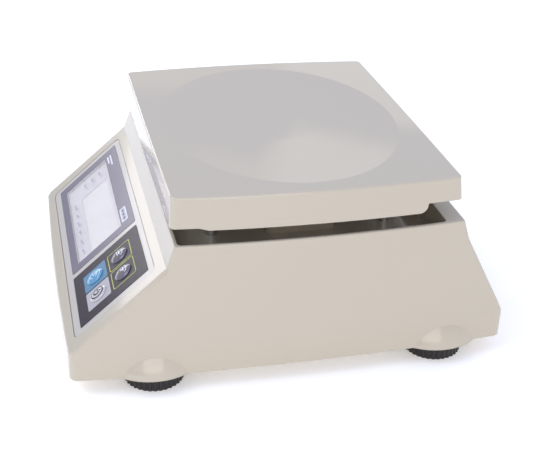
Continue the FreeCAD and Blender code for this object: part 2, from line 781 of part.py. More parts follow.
post_half = "dims.post_size / 2"
post_bar = box_object("post_bar", ("dims.post_across - " + post_half, "dims.post_across + " + post_half),
                      ("dims.platter_middle - " + post_half, "dims.platter_middle + " + post_half),
                      (CELL_UP[1], "dims.support_bottom"))
post_tools = [upright_hole("post_hole_%d" % number, x, SIZE["platter_middle"], 3, 60, 130)
              for number, x in enumerate(LIVE_BOLTS)]
keep(cut_object("support_post", post_bar, post_tools), "support_post")

BASE_TOP = SIZE["base_bottom"] + SIZE["base_thick"]
FRAME_TOP = BASE_TOP + SIZE["frame_thick"]


def make_cell_frame():
    middle = SIZE["platter_middle"]
    plate = rounded_block(-75, 75, middle - 27, middle + 27, BASE_TOP, FRAME_TOP, 5)
    pedestal = block(-65, -33, middle - 15, middle + 15, FRAME_TOP - 1, SIZE["cell_bottom"])
    boss = rod(8, SIZE["post_across"], middle, FRAME_TOP - 1, 42)
    frame = joined([plate, pedestal, boss])
    cuts = [rod(3, SIZE["post_across"], middle, 30, 60)]
    for x in FIXED_BOLTS:
        cuts.append(rod(3, x, middle, 0, 60))
        cuts.append(rod(5.2, x, middle, 0, BASE_TOP + 4))
    for x, y in FRAME_SCREWS:
        cuts.append(rod(2, x, y, 0, 60))
    return frame.cut(cuts)


shape_node("cell_frame", make_cell_frame())


def screw_solid(x, y, shank_radius, shank_low, shank_high, head_radius, head_low, head_high, socket):
    """A socket-head screw with its shank and head between the given heights."""
    shank = rod(shank_radius, x, y, shank_low, shank_high)
    head = rod(head_radius, x, y, head_low, head_high)
    screw = joined([shank, head])
    up = head_low >= shank_high - 0.01
    depth = 0.55 * (head_high - head_low)
    low = head_high - depth if up else head_low
    hexagon = [Vector(x + socket * math.cos(math.radians(60 * step)),
                      y + socket * math.sin(math.radians(60 * step)), low) for step in range(7)]
    return screw.cut(Part.Face(Part.makePolygon(hexagon)).extrude(Vector(0, 0, depth)))


def screw_group(name, screws):
    feature = document.addObject("Part::Feature", name)
    feature.Shape = Part.makeCompound(screws)
    return keep(feature, name)


SUPPORT_TOP = SIZE["support_bottom"] + SIZE["support_thick"]
screw_group("cell_bolts_fixed", [
    screw_solid(x, SIZE["platter_middle"], 3, BASE_TOP + 4, 62, 5, BASE_TOP, BASE_TOP + 4, 2.4)
    for x in FIXED_BOLTS])
screw_group("cell_bolts_live", [
    screw_solid(x, SIZE["platter_middle"], 3, 60, SUPPORT_TOP, 5, SUPPORT_TOP, SUPPORT_TOP + 5, 2.4)
    for x in LIVE_BOLTS])
screw_group("frame_screws", [screw_solid(x, y, 2, 14, FRAME_TOP, 3.8, FRAME_TOP, FRAME_TOP + 3, 1.8)
                             for x, y in FRAME_SCREWS])
screw_group("case_screws", [screw_solid(x, y, 1.5, 15, 34, 2.9, 13.1, 15, 1.4) for x, y in CASE_POSTS])
screw_group("overload_screw", [
    screw_solid(SIZE["post_across"], SIZE["platter_middle"], 3, 34, 45, 4.6, 45, 49.6, 2.0)])


def stop_posts():
    posts = []
    for x, y in STOP_SPOTS:
        stem = rod(2.0, x, y, SIZE["well_floor"] - 6, SIZE["well_floor"] + 1)
        body = rod(4.2, x, y, SIZE["well_floor"], SIZE["well_floor"] + 24)
        tip = rod(2.6, x, y, SIZE["well_floor"] + 23, SIZE["support_bottom"] - 0.6)
        posts.append(joined([stem, body, tip]))
    return posts


screw_group("overload_stops", stop_posts())


def make_dust_collar():
    middle = SIZE["platter_middle"]
    across = SIZE["post_across"]
    outer = SIZE["post_hole"] / 2 + 2.5
    inner = SIZE["post_size"] / 2 + 0.6
    low = SIZE["well_floor"] + 5
    plate = rounded_block(across - outer, across + outer, middle - outer, middle + outer, low, low + 2, 5)
    neck = rounded_block(across - inner - 2, across + inner + 2, middle - inner - 2, middle + inner + 2,
                         low + 1, low + 9, 2)
    collar = joined([plate, neck])
    return collar.cut(block(across - inner, across + inner, middle - inner, middle + inner, 0, 200))


shape_node("dust_collar", make_dust_collar())


# ---------------------------------------------------------------------------
# Spirit level in the floor of the well
# ---------------------------------------------------------------------------

FLOOR = SIZE["well_floor"]
level_pieces = {
    "level_cup": [(7.6, FLOOR - 7), (9.2, FLOOR - 7), (9.2, FLOOR), (11.5, FLOOR), (11.5, FLOOR + 1.2),
                  (7.6, FLOOR + 1.2)],
    "level_glass": [(0, FLOOR - 7), (7.5, FLOOR - 7), (7.5, FLOOR + 1.4), (0, FLOOR + 2.6),
                    (0, FLOOR + 1.4), (6.3, FLOOR + 0.4), (6.3, FLOOR - 5.5), (0, FLOOR - 5.5)],
    "level_liquid": [(0, FLOOR - 5.4), (6.2, FLOOR - 5.4), (6.2, FLOOR + 0.2), (0, FLOOR + 1.1)],
}
for name, points in level_pieces.items():
    piece = turned_body(name, points)
    piece.Placement = Placement(Vector(LEVEL_SPOT[0], LEVEL_SPOT[1], 0), Rotation())
    keep(piece, name)


# ---------------------------------------------------------------------------
# Control panel; every piece is drawn in the panel's own frame
# ---------------------------------------------------------------------------

def panel_box(name, left, right, start, end, low, high):
    """A Part box on the panel: start and end run down the slope from the ridge."""
    return box_object(name, (left, right), ("-(%s)" % end, "-(%s)" % start), (low, high))


def panel_node(feature, name):
    if feature.TypeId == "Part::Box":
        feature = group_object(name, [feature])
    feature.Placement = PANEL_PLACEMENT
    return keep(feature, name)


def key_holes(name, radius, low, high):
    holes = []
    for column in (0, 1):
        for row in (0, 1):
            across = "dims.key_column + %d * dims.key_pitch_across" % column
            down = "-(dims.key_row + %d * dims.key_pitch_down)" % row
            label = "%s_%d_%d" % (name, column, row)
            holes.append(cylinder_object(label, radius, across, down, (low, high)))
    return holes


def rounded_upright(name, base, radius):
    """Rounds the four upright edges of a Part box."""
    document.recompute()
    feature = document.addObject("Part::Fillet", name)
    feature.Base = base
    edges = []
    for number, edge in enumerate(base.Shape.Edges, start=1):
        if abs(edge.tangentAt(edge.FirstParameter).z) > 0.99:
            edges.append((number, radius, radius))
    feature.Edges = edges
    return feature


FILM_LOW = "-dims.panel_recess + dims.bezel_thick"
POST_SPOTS = [(-95.0, -21.0), (95.0, -21.0), (-95.0, -65.5), (95.0, -65.5)]

bezel_plate = rounded_upright("bezel_plate", panel_box(
    "bezel_slab", "-dims.bezel_half_width + dims.bezel_gap", "dims.bezel_half_width - dims.bezel_gap",
    "dims.bezel_start + dims.bezel_gap", "dims.bezel_end - dims.bezel_gap",
    "-dims.panel_recess", FILM_LOW), 4.6)
bezel_posts = [upright_hole("bezel_post_%d" % number, x, y, 3, -SIZE["board_depth"], -SIZE["panel_recess"])
               for number, (x, y) in enumerate(POST_SPOTS)]
bezel_solid = fuse_object("bezel_solid", [bezel_plate] + bezel_posts)
bezel_tools = key_holes("bezel_key_hole", "dims.key_radius + dims.key_clearance", "-5", "5")
bezel_tools.append(panel_box("bezel_window", "dims.window_left", "dims.window_right",
                             "dims.window_start", "dims.window_end", "-5", "5"))
bezel_tools += [upright_hole("bezel_pilot_%d" % number, x, y, 1.2, -20, -5)
                for number, (x, y) in enumerate(POST_SPOTS)]
panel_node(cut_object("panel_bezel", bezel_solid, bezel_tools), "panel_bezel")

display_sheet = rounded_upright("display_sheet", panel_box(
    "display_blank", "-dims.film_half_width", "dims.divider_left", "dims.film_start", "dims.film_end",
    FILM_LOW, FILM_LOW + " + dims.film_thick"), 1.2)
display_cut = panel_box("display_cut", "dims.window_left", "dims.window_right",
                        "dims.window_start", "dims.window_end", "-5", "5")
panel_node(cut_object("display_film", display_sheet, [display_cut]), "display_film")

keypad_sheet = rounded_upright("keypad_sheet", panel_box(
    "keypad_blank", "dims.divider_right", "dims.film_half_width", "dims.film_start", "dims.film_end",
    FILM_LOW, FILM_LOW + " + dims.film_thick"), 1.2)
panel_node(cut_object("keypad_film", keypad_sheet, key_holes(
    "film_key_hole", "dims.key_radius + dims.key_clearance", "-5", "5")), "keypad_film")

panel_node(panel_box("window_block", "dims.window_left + 0.1", "dims.window_right - 0.1",
                     "dims.window_start + 0.1", "dims.window_end - 0.1", "-dims.panel_recess",
                     FILM_LOW + " + dims.film_thick"), "display_window")
panel_node(panel_box("glass_block", "dims.window_left + 4", "dims.window_right - 4",
                     "dims.window_start + 2", "dims.window_end - 2", "-5.2", "-2.4"), "lcd_glass")
panel_node(panel_box("backlight_block", "dims.window_left + 2", "dims.window_right - 2",
                     "dims.window_start + 1", "dims.window_end - 1", "-dims.board_depth", "-5.2"),
           "lcd_backlight")

board_slab = panel_box("board_slab", "-98", "98", "17", "69.5", "-dims.board_depth - dims.board_thick",
                       "-dims.board_depth")
board_holes = [upright_hole("board_hole_%d" % number, x, y, 1.3, -20, 0)
               for number, (x, y) in enumerate(POST_SPOTS)]
panel_node(cut_object("display_board", board_slab, board_holes), "display_board")


def switch_pieces():
    pieces = []
    for column in (0, 1):
        for row in (0, 1):
            x, y = key_centre(column, row)
            body = block(x - 3, x + 3, y - 3, y + 3, -SIZE["board_depth"], -7.4)
            plunger = rod(1.7, x, y, -7.5, -6.3)
            pieces.append(joined([body, plunger]))
    return pieces


switches = screw_group("key_switches", switch_pieces())
switches.Placement = PANEL_PLACEMENT


DOME_RISE = 1.7
DOME_RADIUS = (SIZE["key_radius"] ** 2 + DOME_RISE ** 2) / (2 * DOME_RISE)
DOME_TURN = 0.5 * math.asin(SIZE["key_radius"] / DOME_RADIUS)


def make_key(name, column, row):
    radius = SIZE["key_radius"]
    rise = SIZE["key_rise"]
    key = turned_body(name, [
        (0, -5.4), (2.0, -5.4), (2.0, -3.2), (SIZE["key_flange_radius"], -3.2),
        (SIZE["key_flange_radius"], -2.1), (radius, -2.1), (radius, rise - DOME_RISE),
        (DOME_RADIUS * math.sin(DOME_TURN), rise - DOME_RADIUS * (1 - math.cos(DOME_TURN)), None),
        (0, rise)])
    x, y = key_centre(column, row)
    key.Placement = PANEL_PLACEMENT.multiply(Placement(Vector(x, y, 0), Rotation()))
    keep(key, name)


for name, (column, row) in KEYS.items():
    make_key(name, column, row)

BOARD_BACK = -SIZE["board_depth"] - SIZE["board_thick"]
board_screws = screw_group("display_board_screws", [
    screw_solid(x, y, 1.2, BOARD_BACK, -6.0, 2.3, BOARD_BACK - 1.7, BOARD_BACK, 1.1)
    for x, y in POST_SPOTS])
board_screws.Placement = PANEL_PLACEMENT


# ---------------------------------------------------------------------------
# Main board, inlet and inner wiring
# ---------------------------------------------------------------------------

main_slab = box_object("main_slab", ("-60", "60"), ("-108", "-40"),
                       (str(BOARD_LEVEL), "%s + dims.board_thick" % BOARD_LEVEL))
main_holes = [upright_hole("main_hole_%d" % number, x, y, 1.3, 0, 60)
              for number, (x, y) in enumerate(BOARD_POSTS)]
keep(cut_object("main_board", main_slab, main_holes), "main_board")

BOARD_TOP = BOARD_LEVEL + SIZE["board_thick"]
CHIPS = [
    (-34, -12, -84, -62, 2.4), (6, 20, -80, -66, 1.8), (28, 48, -92, -84, 9.0), (-48, -40, -84, -68, 5.0),
    (-10, 10, -50, -43, 6.0), (-12, 12, -106, -100, 6.5), (30, 42, -74, -62, 7.5),
]
components = [block(left, right, front, rear, BOARD_TOP, BOARD_TOP + rise)
              for left, right, front, rear, rise in CHIPS]
components += [rod(4.0, 52, -70, BOARD_TOP, BOARD_TOP + 11), rod(4.0, 52, -58, BOARD_TOP, BOARD_TOP + 11)]
screw_group("board_components", components)
screw_group("main_board_screws", [screw_solid(x, y, 1.2, 17, BOARD_TOP, 2.3, BOARD_TOP, BOARD_TOP + 1.7, 1.1)
                                  for x, y in BOARD_POSTS])


def make_dc_jack():
    x = SIZE["jack_across"]
    z = SIZE["jack_height"]
    body = block(x - 4.6, x + 4.6, 134, 147.6, BASE_TOP, z + 5.4)
    barrel = Part.makeCylinder(5.0, 3.6, Vector(x, 147, z), Vector(0, 1, 0))
    jack = joined([body, barrel])
    bore = Part.makeCylinder(2.75, 10, Vector(x, 141, z), Vector(0, 1, 0))
    pin = Part.makeCylinder(1.0, 9, Vector(x, 140.5, z), Vector(0, 1, 0))
    return joined([jack.cut(bore), pin])


shape_node("dc_jack", make_dc_jack())


def tube_along(points, radius, bend):
    """A wire run: straight lengths joined by tangent arcs of one bend radius."""
    edges = []
    start = points[0]
    for before, corner, after in zip(points, points[1:], points[2:]):
        into = (corner - before).normalize()
        out = (after - corner).normalize()
        turn = into.getAngle(out)
        reach = bend * math.tan(turn / 2)
        arc_start = corner - into * reach
        arc_end = corner + out * reach
        inward = (out - into).normalize()
        arc_middle = corner + inward * (bend / math.cos(turn / 2) - bend)
        edges.append(Part.LineSegment(start, arc_start).toShape())
        edges.append(Part.Arc(arc_start, arc_middle, arc_end).toShape())
        start = arc_end
    edges.append(Part.LineSegment(start, points[-1]).toShape())
    path = Part.Wire(edges)
    direction = points[1] - points[0]
    section = Part.Wire([Part.Circle(points[0], direction, radius).toShape()])
    tube = path.makePipeShell([section], True, True)
    full = tube.Volume / (math.pi * radius ** 2 * path.Length)
    print("lead of diameter %.1f: bend radius %.1f, volume over section times length %.4f"
          % (2 * radius, bend, full))
    return tube


CELL_LEAD_DROP = -48.5
shape_node("cell_lead", tube_along([
    Vector(0, SIZE["platter_middle"] - SIZE["cell_width"] / 2, 66), Vector(0, CELL_LEAD_DROP, 66),
    Vector(0, CELL_LEAD_DROP, BOARD_TOP + 6)], 1.8, 20.0))
shape_node("battery_lead", tube_along([
    Vector(-SIZE["tray_half_width"], 66, 30), Vector(-84, 66, 30), Vector(-84, -30, 30),
    Vector(-84, -76, 27), Vector(-48, -76, 27)], 1.5, 16.0))

ribbon_low = PANEL_PLACEMENT.multVec(Vector(0, -52, -SIZE["board_depth"] - SIZE["board_thick"]))


def make_panel_ribbon():
    """The flat cable that hangs from the display board to the main board's connector."""
    top = ribbon_low
    points = [top, top + Vector(0, 4.0, -4.5), Vector(0, -103, 40), Vector(0, -103, BOARD_TOP + 6.5)]
    thick = 1.0
    front = [Vector(-9, point.y, point.z) for point in points]
    back = [Vector(-9, point.y + thick, point.z + 0.01) for point in reversed(points)]
    return Part.Face(Part.makePolygon(front + back + [front[0]])).extrude(Vector(18, 0, 0))


shape_node("panel_ribbon", make_panel_ribbon())


# ---------------------------------------------------------------------------
# Batteries
# ---------------------------------------------------------------------------

tray_outer = box_object("tray_outer", ("-dims.tray_half_width", "dims.tray_half_width"),
                        ("dims.tray_front", "dims.tray_rear"), (str(BASE_TOP), "dims.tray_top"))
tray_inner = box_object("tray_inner", ("-dims.tray_half_width + 2", "dims.tray_half_width - 2"),
                        ("dims.tray_front + 2", "dims.tray_rear - 2"),
                        (str(BASE_TOP - 5), "dims.tray_top - 2"))
keep(cut_object("battery_tray", tray_outer, [tray_inner]), "battery_tray")

CELL_ROWS = (72.0, 100.0)
CELL_HEIGHT = 31.3


def along_x(radius, x0, x1, y, z):
    return Part.makeCylinder(radius, x1 - x0, Vector(x0, y, z), Vector(1, 0, 0))


def battery_solids():
    cells = []
    for y in CELL_ROWS:
        for x in (-50.5, 0.5):
            can = along_x(13.0, x, x + 48.5, y, CELL_HEIGHT)
            rim = [edge for edge in can.Edges if edge.Closed]
            can = can.makeFillet(1.2, rim)
            cells.append(joined([can, along_x(3.2, x + 48, x + 50, y, CELL_HEIGHT)]))
    return cells


screw_group("battery_cells", battery_solids())


def spring_solids():
    springs = []
    for y in CELL_ROWS:
        cone = Part.makeCone(6.5, 4.0, 7.2, Vector(-57.9, y, CELL_HEIGHT), Vector(1, 0, 0))
        hollow = Part.makeCone(5.5, 3.0, 7.2, Vector(-57.9, y, CELL_HEIGHT), Vector(1, 0, 0))
        springs.append(cone.cut(hollow))
    return springs


screw_group("battery_springs", spring_solids())
screw_group("battery_plates", [
    joined([block(57.3, 57.9, y - 7, y + 7, CELL_HEIGHT - 7, CELL_HEIGHT + 7),
            along_x(4.0, 50.7, 57.5, y, CELL_HEIGHT)]) for y in CELL_ROWS])


def make_battery_door():
    door = rounded_block(-61.6, 61.6, 54, 118, 10.35, 12.75, 2)
    grips = [block(-18, 18, 60 + 4 * step, 61.6 + 4 * step, 9.75, 10.6) for step in range(5)]
    return joined([door] + grips)


shape_node("battery_door", make_battery_door())
rating = box_object("rating", ("-40", "40"), ("-132", "-106"),
                    ("dims.base_bottom - 0.3", "dims.base_bottom"))
keep(rating, "rating_plate")


# ---------------------------------------------------------------------------
# Checks and export
# ---------------------------------------------------------------------------

document.recompute()
for feature in document.Objects:
    if "Invalid" in feature.State or "Error" in feature.State:
        raise RuntimeError("%s failed: %s" % (feature.Label, feature.State))
labels = [feature.Label for feature in nodes]
if len(set(labels)) != len(labels):
    raise RuntimeError("two sub-parts share a label")
for feature in nodes:
    if feature.Shape.isNull() or not feature.Shape.isValid():
        raise RuntimeError("%s has no valid shape" % feature.Label)

os.makedirs("parts", exist_ok=True)
for feature in nodes:
    feature.Shape.exportStep("parts/%s.step" % feature.Label)
    print("%-24s %9.1f mm3, %d solids" % (feature.Label, feature.Shape.Volume, len(feature.Shape.Solids)))
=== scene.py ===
"""Looks of the counting scale: materials, printed panel, key symbols, threads, springs, light and camera."""

import json
import math
import bmesh
import bpy
from mathutils import Matrix, Vector


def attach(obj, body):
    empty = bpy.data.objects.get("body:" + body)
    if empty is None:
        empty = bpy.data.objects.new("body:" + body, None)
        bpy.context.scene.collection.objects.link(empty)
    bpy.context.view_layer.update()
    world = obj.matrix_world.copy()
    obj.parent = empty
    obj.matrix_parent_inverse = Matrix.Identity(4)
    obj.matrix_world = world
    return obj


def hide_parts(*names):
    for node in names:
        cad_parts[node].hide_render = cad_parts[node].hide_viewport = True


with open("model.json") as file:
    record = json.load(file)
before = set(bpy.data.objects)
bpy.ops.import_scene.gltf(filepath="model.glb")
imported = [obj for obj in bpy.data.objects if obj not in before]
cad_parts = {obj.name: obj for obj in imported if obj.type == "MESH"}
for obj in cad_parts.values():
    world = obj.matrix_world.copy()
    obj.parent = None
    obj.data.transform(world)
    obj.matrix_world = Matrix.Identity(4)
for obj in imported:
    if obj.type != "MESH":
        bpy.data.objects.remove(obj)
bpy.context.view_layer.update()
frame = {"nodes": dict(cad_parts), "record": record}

MM = 0.001
nodes = frame["nodes"]
scene = bpy.context.scene


# ---------------------------------------------------------------------------
# Node helpers
# ---------------------------------------------------------------------------

def new_material(name, **sockets):
    material = bpy.data.materials.new(name)
    material.use_nodes = True
    tree = material.node_tree
    bsdf = tree.nodes["Principled BSDF"]
    for key, value in sockets.items():
        bsdf.inputs[key.replace("_", " ")].default_value = value
    return material, tree, bsdf


def add_node(tree, kind, links=None, **settings):
    node = tree.nodes.new(kind)
    for key, value in settings.items():
        setattr(node, key, value)
    for socket, source in (links or {}).items():
        tree.links.new(source, node.inputs[socket])
    return node


def object_place(tree):
    return add_node(tree, "ShaderNodeTexCoord").outputs["Object"]


def noise(tree, place, scale, detail=2.0, roughness=0.5):
    node = add_node(tree, "ShaderNodeTexNoise", {"Vector": place})
    node.inputs["Scale"].default_value = scale
    node.inputs["Detail"].default_value = detail
    node.inputs["Roughness"].default_value = roughness
    return node.outputs["Fac"]


def spread(tree, source, low, high, from_low=0.3, from_high=0.7):
    node = add_node(tree, "ShaderNodeMapRange", {"Value": source})
    node.inputs["From Min"].default_value = from_low
    node.inputs["From Max"].default_value = from_high
    node.inputs["To Min"].default_value = low
    node.inputs["To Max"].default_value = high
    return node.outputs["Result"]


def blend_colours(tree, factor, first, second):
    node = tree.nodes.new("ShaderNodeMix")
    node.data_type = "RGBA"
    tree.links.new(factor, node.inputs["Factor"])
    for socket, colour in ((node.inputs[6], first), (node.inputs[7], second)):
        if isinstance(colour, (tuple, list)):
            socket.default_value = (*colour[:3], 1.0)
        else:
            tree.links.new(colour, socket)
    return node.outputs[2]


def bump_chain(tree, bsdf, layers, edge=0.0):
    """layers is a list of (height source, distance in metres, strength); edge rounds sharp corners."""
    normal = None
    if edge:
        rounding = tree.nodes.new("ShaderNodeBevel")
        rounding.samples = 4
        rounding.inputs["Radius"].default_value = edge
        normal = rounding.outputs["Normal"]
    for height, distance, strength in layers:
        node = tree.nodes.new("ShaderNodeBump")
        node.inputs["Distance"].default_value = distance
        node.inputs["Strength"].default_value = strength
        tree.links.new(height, node.inputs["Height"])
        if normal is not None:
            tree.links.new(normal, node.inputs["Normal"])
        normal = node.outputs["Normal"]
    tree.links.new(normal, bsdf.inputs["Normal"])


def shade(colour, factor):
    return tuple(min(1.0, channel * factor) for channel in colour)


# ---------------------------------------------------------------------------
# Materials
# ---------------------------------------------------------------------------

def moulded(name, colour, roughness, grain=0.00002, coat=0.0, coat_roughness=0.05, tint=0.02, edge=0.0,
            wear=1.0):
    """Injection-moulded plastic: faint flow marks, orange peel and slightly uneven gloss."""
    material, tree, bsdf = new_material(name, Coat_Weight=coat, Coat_Roughness=coat_roughness,
                                        Specular_IOR_Level=0.5)
    place = object_place(tree)
    flow = noise(tree, place, 9.0, 2.0)
    speck = noise(tree, place, 2600.0, 2.0, 0.7)
    mottled = blend_colours(tree, spread(tree, flow, 0.0, 1.0),
                            shade(colour, 1 - tint), shade(colour, 1 + tint))
    fine = blend_colours(tree, spread(tree, speck, 0.0, 0.35 * wear, 0.45, 0.75),
                         mottled, shade(colour, 1 - 3 * tint))
    tree.links.new(fine, bsdf.inputs["Base Color"])
    handled = noise(tree, place, 26.0, 3.0, 0.5)
    tree.links.new(spread(tree, handled, roughness * (1 - 0.12 * wear), roughness * (1 + 0.16 * wear)),
                   bsdf.inputs["Roughness"])
    peel = noise(tree, place, 900.0, 3.0, 0.55)
    bump_chain(tree, bsdf, [(peel, grain, 0.3)], edge)
    return material


def metal(name, colour, roughness, brushed=0.0, scale=600.0):
    """Bare or plated metal with fine directional lines and a little tarnish."""
    material, tree, bsdf = new_material(name, Metallic=1.0)
    place = object_place(tree)
    stretch = add_node(tree, "ShaderNodeMapping", {"Vector": place})
    stretch.inputs["Scale"].default_value = (0.06, 1.0, 1.0)
    lines = noise(tree, stretch.outputs["Vector"], scale, 3.0, 0.6)
    cloud = noise(tree, place, 60.0, 4.0)
    tone = blend_colours(tree, spread(tree, cloud, 0.0, 1.0), shade(colour, 0.86), shade(colour, 1.06))
    tree.links.new(tone, bsdf.inputs["Base Color"])
    tree.links.new(spread(tree, lines, roughness * 0.8, roughness * 1.35), bsdf.inputs["Roughness"])
    bump_chain(tree, bsdf, [(lines, 0.00002, 0.2 + brushed)], 0.0003)
    return material


def rubber(name, colour):
    """Matt rubber or dark paint with a little dust on it."""
    material, tree, bsdf = new_material(name, Specular_IOR_Level=0.3)
    place = object_place(tree)
    dust = noise(tree, place, 90.0, 5.0, 0.65)
    tone = blend_colours(tree, spread(tree, dust, 0.0, 1.0), shade(colour, 0.85), shade(colour, 1.2))
    tree.links.new(tone, bsdf.inputs["Base Color"])
    tree.links.new(spread(tree, dust, 0.62, 0.85), bsdf.inputs["Roughness"])
    bump_chain(tree, bsdf, [(noise(tree, place, 1500.0, 3.0), 0.00004, 0.5)], 0.0004)
    return material


def printed(name, colour, roughness, gloss=0.5):
    """Printed polyester film: satin, with a very fine texture."""
    material, tree, bsdf = new_material(name, Specular_IOR_Level=gloss)
    place = object_place(tree)
    speck = noise(tree, place, 3200.0, 2.0, 0.6)
    tone = blend_colours(tree, spread(tree, speck, 0.0, 0.04, 0.4, 0.8), colour, (0.95, 0.95, 0.97))
    tree.links.new(tone, bsdf.inputs["Base Color"])
    patch = noise(tree, place, 14.0, 2.0)
    tree.links.new(spread(tree, patch, roughness * 0.95, roughness * 1.06), bsdf.inputs["Roughness"])
    bump_chain(tree, bsdf, [(noise(tree, place, 2200.0, 2.0), 0.00001, 0.35)])
    return material


def clear(name, colour, alpha):
    """Clear glass, film or liquid with a faint haze."""
    material, tree, bsdf = new_material(name, Alpha=alpha, Specular_IOR_Level=0.6)
    place = object_place(tree)
    haze = noise(tree, place, 40.0, 4.0)
    tone = blend_colours(tree, spread(tree, haze, 0.0, 1.0), shade(colour, 0.97), shade(colour, 1.02))
    tree.links.new(tone, bsdf.inputs["Base Color"])
    tree.links.new(spread(tree, haze, 0.04, 0.072), bsdf.inputs["Roughness"])
    return material


def circuit_board(name):
    """Solder mask over copper: lighter tracks and a fine weave."""
    material, tree, bsdf = new_material(name, Specular_IOR_Level=0.5, Roughness=0.32)
    place = object_place(tree)
    brick = add_node(tree, "ShaderNodeTexBrick", {"Vector": place})
    brick.inputs["Scale"].default_value = 160.0
    brick.inputs["Mortar Size"].default_value = 0.012
    brick.inputs["Color1"].default_value = (0.018, 0.115, 0.050, 1.0)
    brick.inputs["Color2"].default_value = (0.022, 0.130, 0.058, 1.0)
    brick.inputs["Mortar"].default_value = (0.060, 0.240, 0.110, 1.0)
    tree.links.new(brick.outputs["Color"], bsdf.inputs["Base Color"])
    weave = noise(tree, place, 1800.0)
    bump_chain(tree, bsdf, [(brick.outputs["Fac"], 0.00003, 0.5), (weave, 0.00001, 0.4)])
    return material


CASING = (0.503, 0.450, 0.358)
materials = {
    "casing_plastic": moulded("casing_plastic", CASING, 0.17, 0.000002, coat=0.4, tint=0.006, edge=0.0012,
                              wear=0.3),
    "platter_plastic": moulded("platter_plastic", CASING, 0.04, 0.0000004, coat=0.5, coat_roughness=0.02,
                               tint=0.005, edge=0.0006, wear=0.2),
    "base_plastic": moulded("base_plastic", (0.56, 0.525, 0.48), 0.5, grain=0.00005, edge=0.0005),
    "bezel_plastic": moulded("bezel_plastic", (0.50, 0.465, 0.42), 0.20, 0.000003, coat=0.3, tint=0.005,
                             edge=0.0003, wear=0.3),
    "display_film": printed("display_film", (0.145, 0.130, 0.172), 0.2),
    "keypad_film": printed("keypad_film", (0.026, 0.019, 0.030), 0.22, gloss=0.22),
    "window_glass": clear("window_glass", (0.86, 0.83, 0.83), 0.30),
    "lcd_glass": printed("lcd_glass", (0.94, 0.90, 0.84), 0.22),
    "backlight": moulded("backlight", (0.84, 0.84, 0.82), 0.5),
    "circuit_board": circuit_board("circuit_board"),
    "black_plastic": moulded("black_plastic", (0.018, 0.018, 0.020), 0.42, edge=0.0003),
    "key_violet": moulded("key_violet", (0.12, 0.105, 0.135), 0.16, coat=0.6, tint=0.03),
    "key_blue": moulded("key_blue", (0.10, 0.28, 0.45), 0.2, coat=0.6, tint=0.03),
    "key_silver": moulded("key_silver", (0.48, 0.46, 0.47), 0.2, coat=0.6, tint=0.03),
    "screw_steel": metal("screw_steel", (0.62, 0.62, 0.64), 0.3),
    "stud_steel": metal("stud_steel", (0.60, 0.60, 0.62), 0.26),
    "pad_rubber": rubber("pad_rubber", (0.030, 0.030, 0.031)),
    "cast_aluminium": metal("cast_aluminium", (0.56, 0.57, 0.58), 0.5, brushed=0.15, scale=900.0),
    "cell_aluminium": metal("cell_aluminium", (0.72, 0.73, 0.74), 0.34, brushed=0.3),
    "frame_metal": rubber("frame_metal", (0.045, 0.045, 0.048)),
    "level_glass": clear("level_glass", (0.86, 0.92, 0.90), 0.25),
    "level_liquid": clear("level_liquid", (0.50, 0.78, 0.12), 0.7),
    "lead_sheath": rubber("lead_sheath", (0.028, 0.028, 0.030)),
    "ribbon_sheath": moulded("ribbon_sheath", (0.42, 0.42, 0.44), 0.5),
    "battery_metal": metal("battery_metal", (0.30, 0.33, 0.40), 0.35),
    "contact_metal": metal("contact_metal", (0.72, 0.69, 0.64), 0.28),
    "label_film": printed("label_film", (0.72, 0.72, 0.71), 0.4),
    "insert_brass": metal("insert_brass", (0.72, 0.50, 0.20), 0.3),
    "foot_pad": rubber("foot_pad", (0.46, 0.44, 0.41)),
    "foot_plastic": moulded("foot_plastic", (0.013, 0.011, 0.011), 0.42, edge=0.0004, tint=0.05),
}

for row in frame["record"]["subparts"]:
    piece = nodes[row["node"]]
    piece.data.materials.clear()
    piece.data.materials.append(materials[row["material_slot"]])


# ---------------------------------------------------------------------------
# Mesh helpers
# ---------------------------------------------------------------------------

def mesh_piece(name, vertices, faces, slot, body, transform, material=None, smooth=False):
    """A piece of the visual model that rides on a body; its normals are turned outwards."""
    mesh = bpy.data.meshes.new(name)
    mesh.from_pydata([tuple(transform @ Vector(vertex)) for vertex in vertices], [], faces)
    work = bmesh.new()
    work.from_mesh(mesh)
    bmesh.ops.recalc_face_normals(work, faces=work.faces)
    work.to_mesh(mesh)
    work.free()
    for face in mesh.polygons:
        face.use_smooth = smooth
    piece = bpy.data.objects.new(name, mesh)
    scene.collection.objects.link(piece)
    piece.data.materials.append(material or materials[slot])
    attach(piece, body)
    return piece


# The panel's own frame: X to the right, Y up the slope, Z out of the face, from the slope's upper edge.
PANEL_TOP = (-85.45, 89.1)
PANEL_FOOT = (-151.85, 30.52)
SLOPE = math.atan2(PANEL_TOP[1] - PANEL_FOOT[1], PANEL_TOP[0] - PANEL_FOOT[0])
PANEL = (Matrix.Translation((0.0, PANEL_TOP[0] * MM, PANEL_TOP[1] * MM)) @ Matrix.Rotation(SLOPE, 4, "X")
         @ Matrix.Scale(MM, 4))
CORNER_STEPS = 6


def rounded_loop(width, height, radius):
    """Points of a rounded rectangle about the origin, anticlockwise from its right side."""
    points = []
    for corner, (sx, sy) in enumerate(((1, 1), (-1, 1), (-1, -1), (1, -1))):
        for step in range(CORNER_STEPS + 1):
            angle = math.radians(90 * corner + 90 * step / CORNER_STEPS)
            points.append((sx * (width / 2 - radius) + radius * math.cos(angle),
                           sy * (height / 2 - radius) + radius * math.sin(angle)))
    return points


def matched_circle(radius, outline):
    """A circle with one point for each point of the outline, so the two can be joined."""
    return [(radius * x / math.hypot(x, y), radius * y / math.hypot(x, y)) for x, y in outline]


